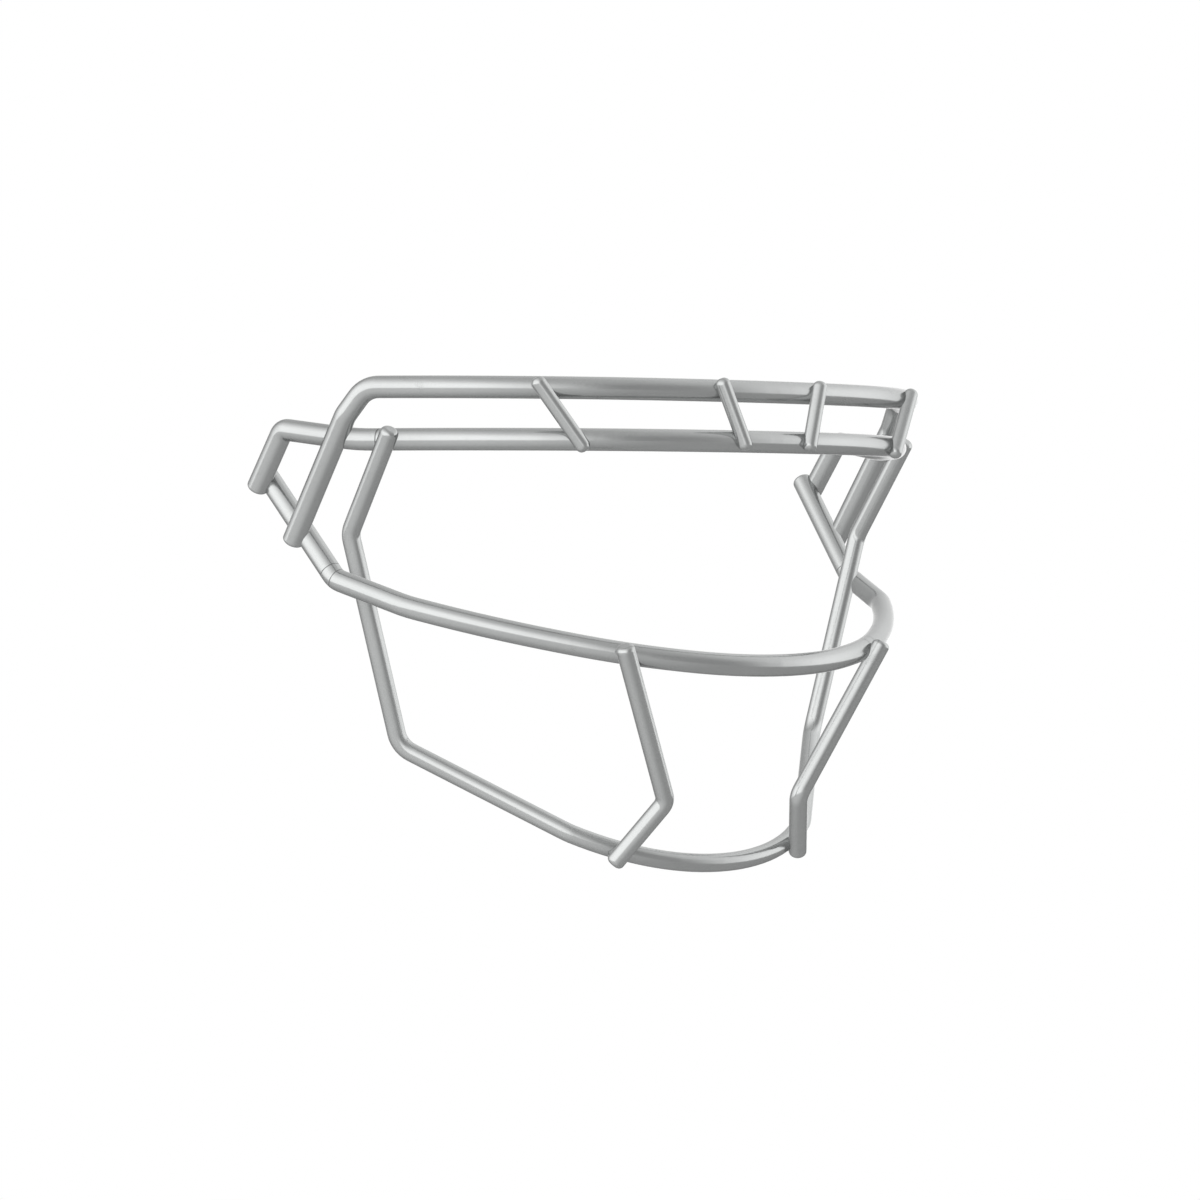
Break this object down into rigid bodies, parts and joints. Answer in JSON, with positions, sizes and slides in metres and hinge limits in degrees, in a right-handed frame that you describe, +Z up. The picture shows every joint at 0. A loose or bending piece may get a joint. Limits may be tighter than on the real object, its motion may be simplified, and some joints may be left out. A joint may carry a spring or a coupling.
{
  "type": "football helmet facemask",
  "caption": "Open cage of bent coated steel wire that guards the face: two brow rails joined by slanted struts, a cheek bar and a jaw bar joined by kinked uprights.",
  "frame": {"origin": "middle of the top rail, on the axis of its wire, where the brow clip grips it", "axes": "+X towards the wearer's left, +Y back towards the wearer, +Z up as the mask is worn. The mask looks towards -Y and is the same on both sides of the plane x = 0"},
  "size_m": [0.2432, 0.1258, 0.1588],
  "materials": {
    "steel_wire": "bare cold-drawn wire under the coating",
    "silver_coating": "semi-gloss silver-grey polymer coating"
  },
  "bodies": {
    "root": {"mid_bar_steel": "steel_wire", "brow_rail_steel": "steel_wire", "top_rail_steel": "steel_wire", "jaw_bar_steel": "steel_wire", "upright_left_steel": "steel_wire", "upright_right_steel": "steel_wire", "outer_strut_left_steel": "steel_wire", "outer_strut_right_steel": "steel_wire", "inner_strut_left_steel": "steel_wire", "inner_strut_right_steel": "steel_wire", "mid_bar_coating": "silver_coating", "brow_rail_coating": "silver_coating", "top_rail_coating": "silver_coating", "jaw_bar_coating": "silver_coating", "upright_left_coating": "silver_coating", "upright_right_coating": "silver_coating", "outer_strut_left_coating": "silver_coating", "outer_strut_right_coating": "silver_coating", "inner_strut_left_coating": "silver_coating", "inner_strut_right_coating": "silver_coating"}
  },
  "joints": []
}
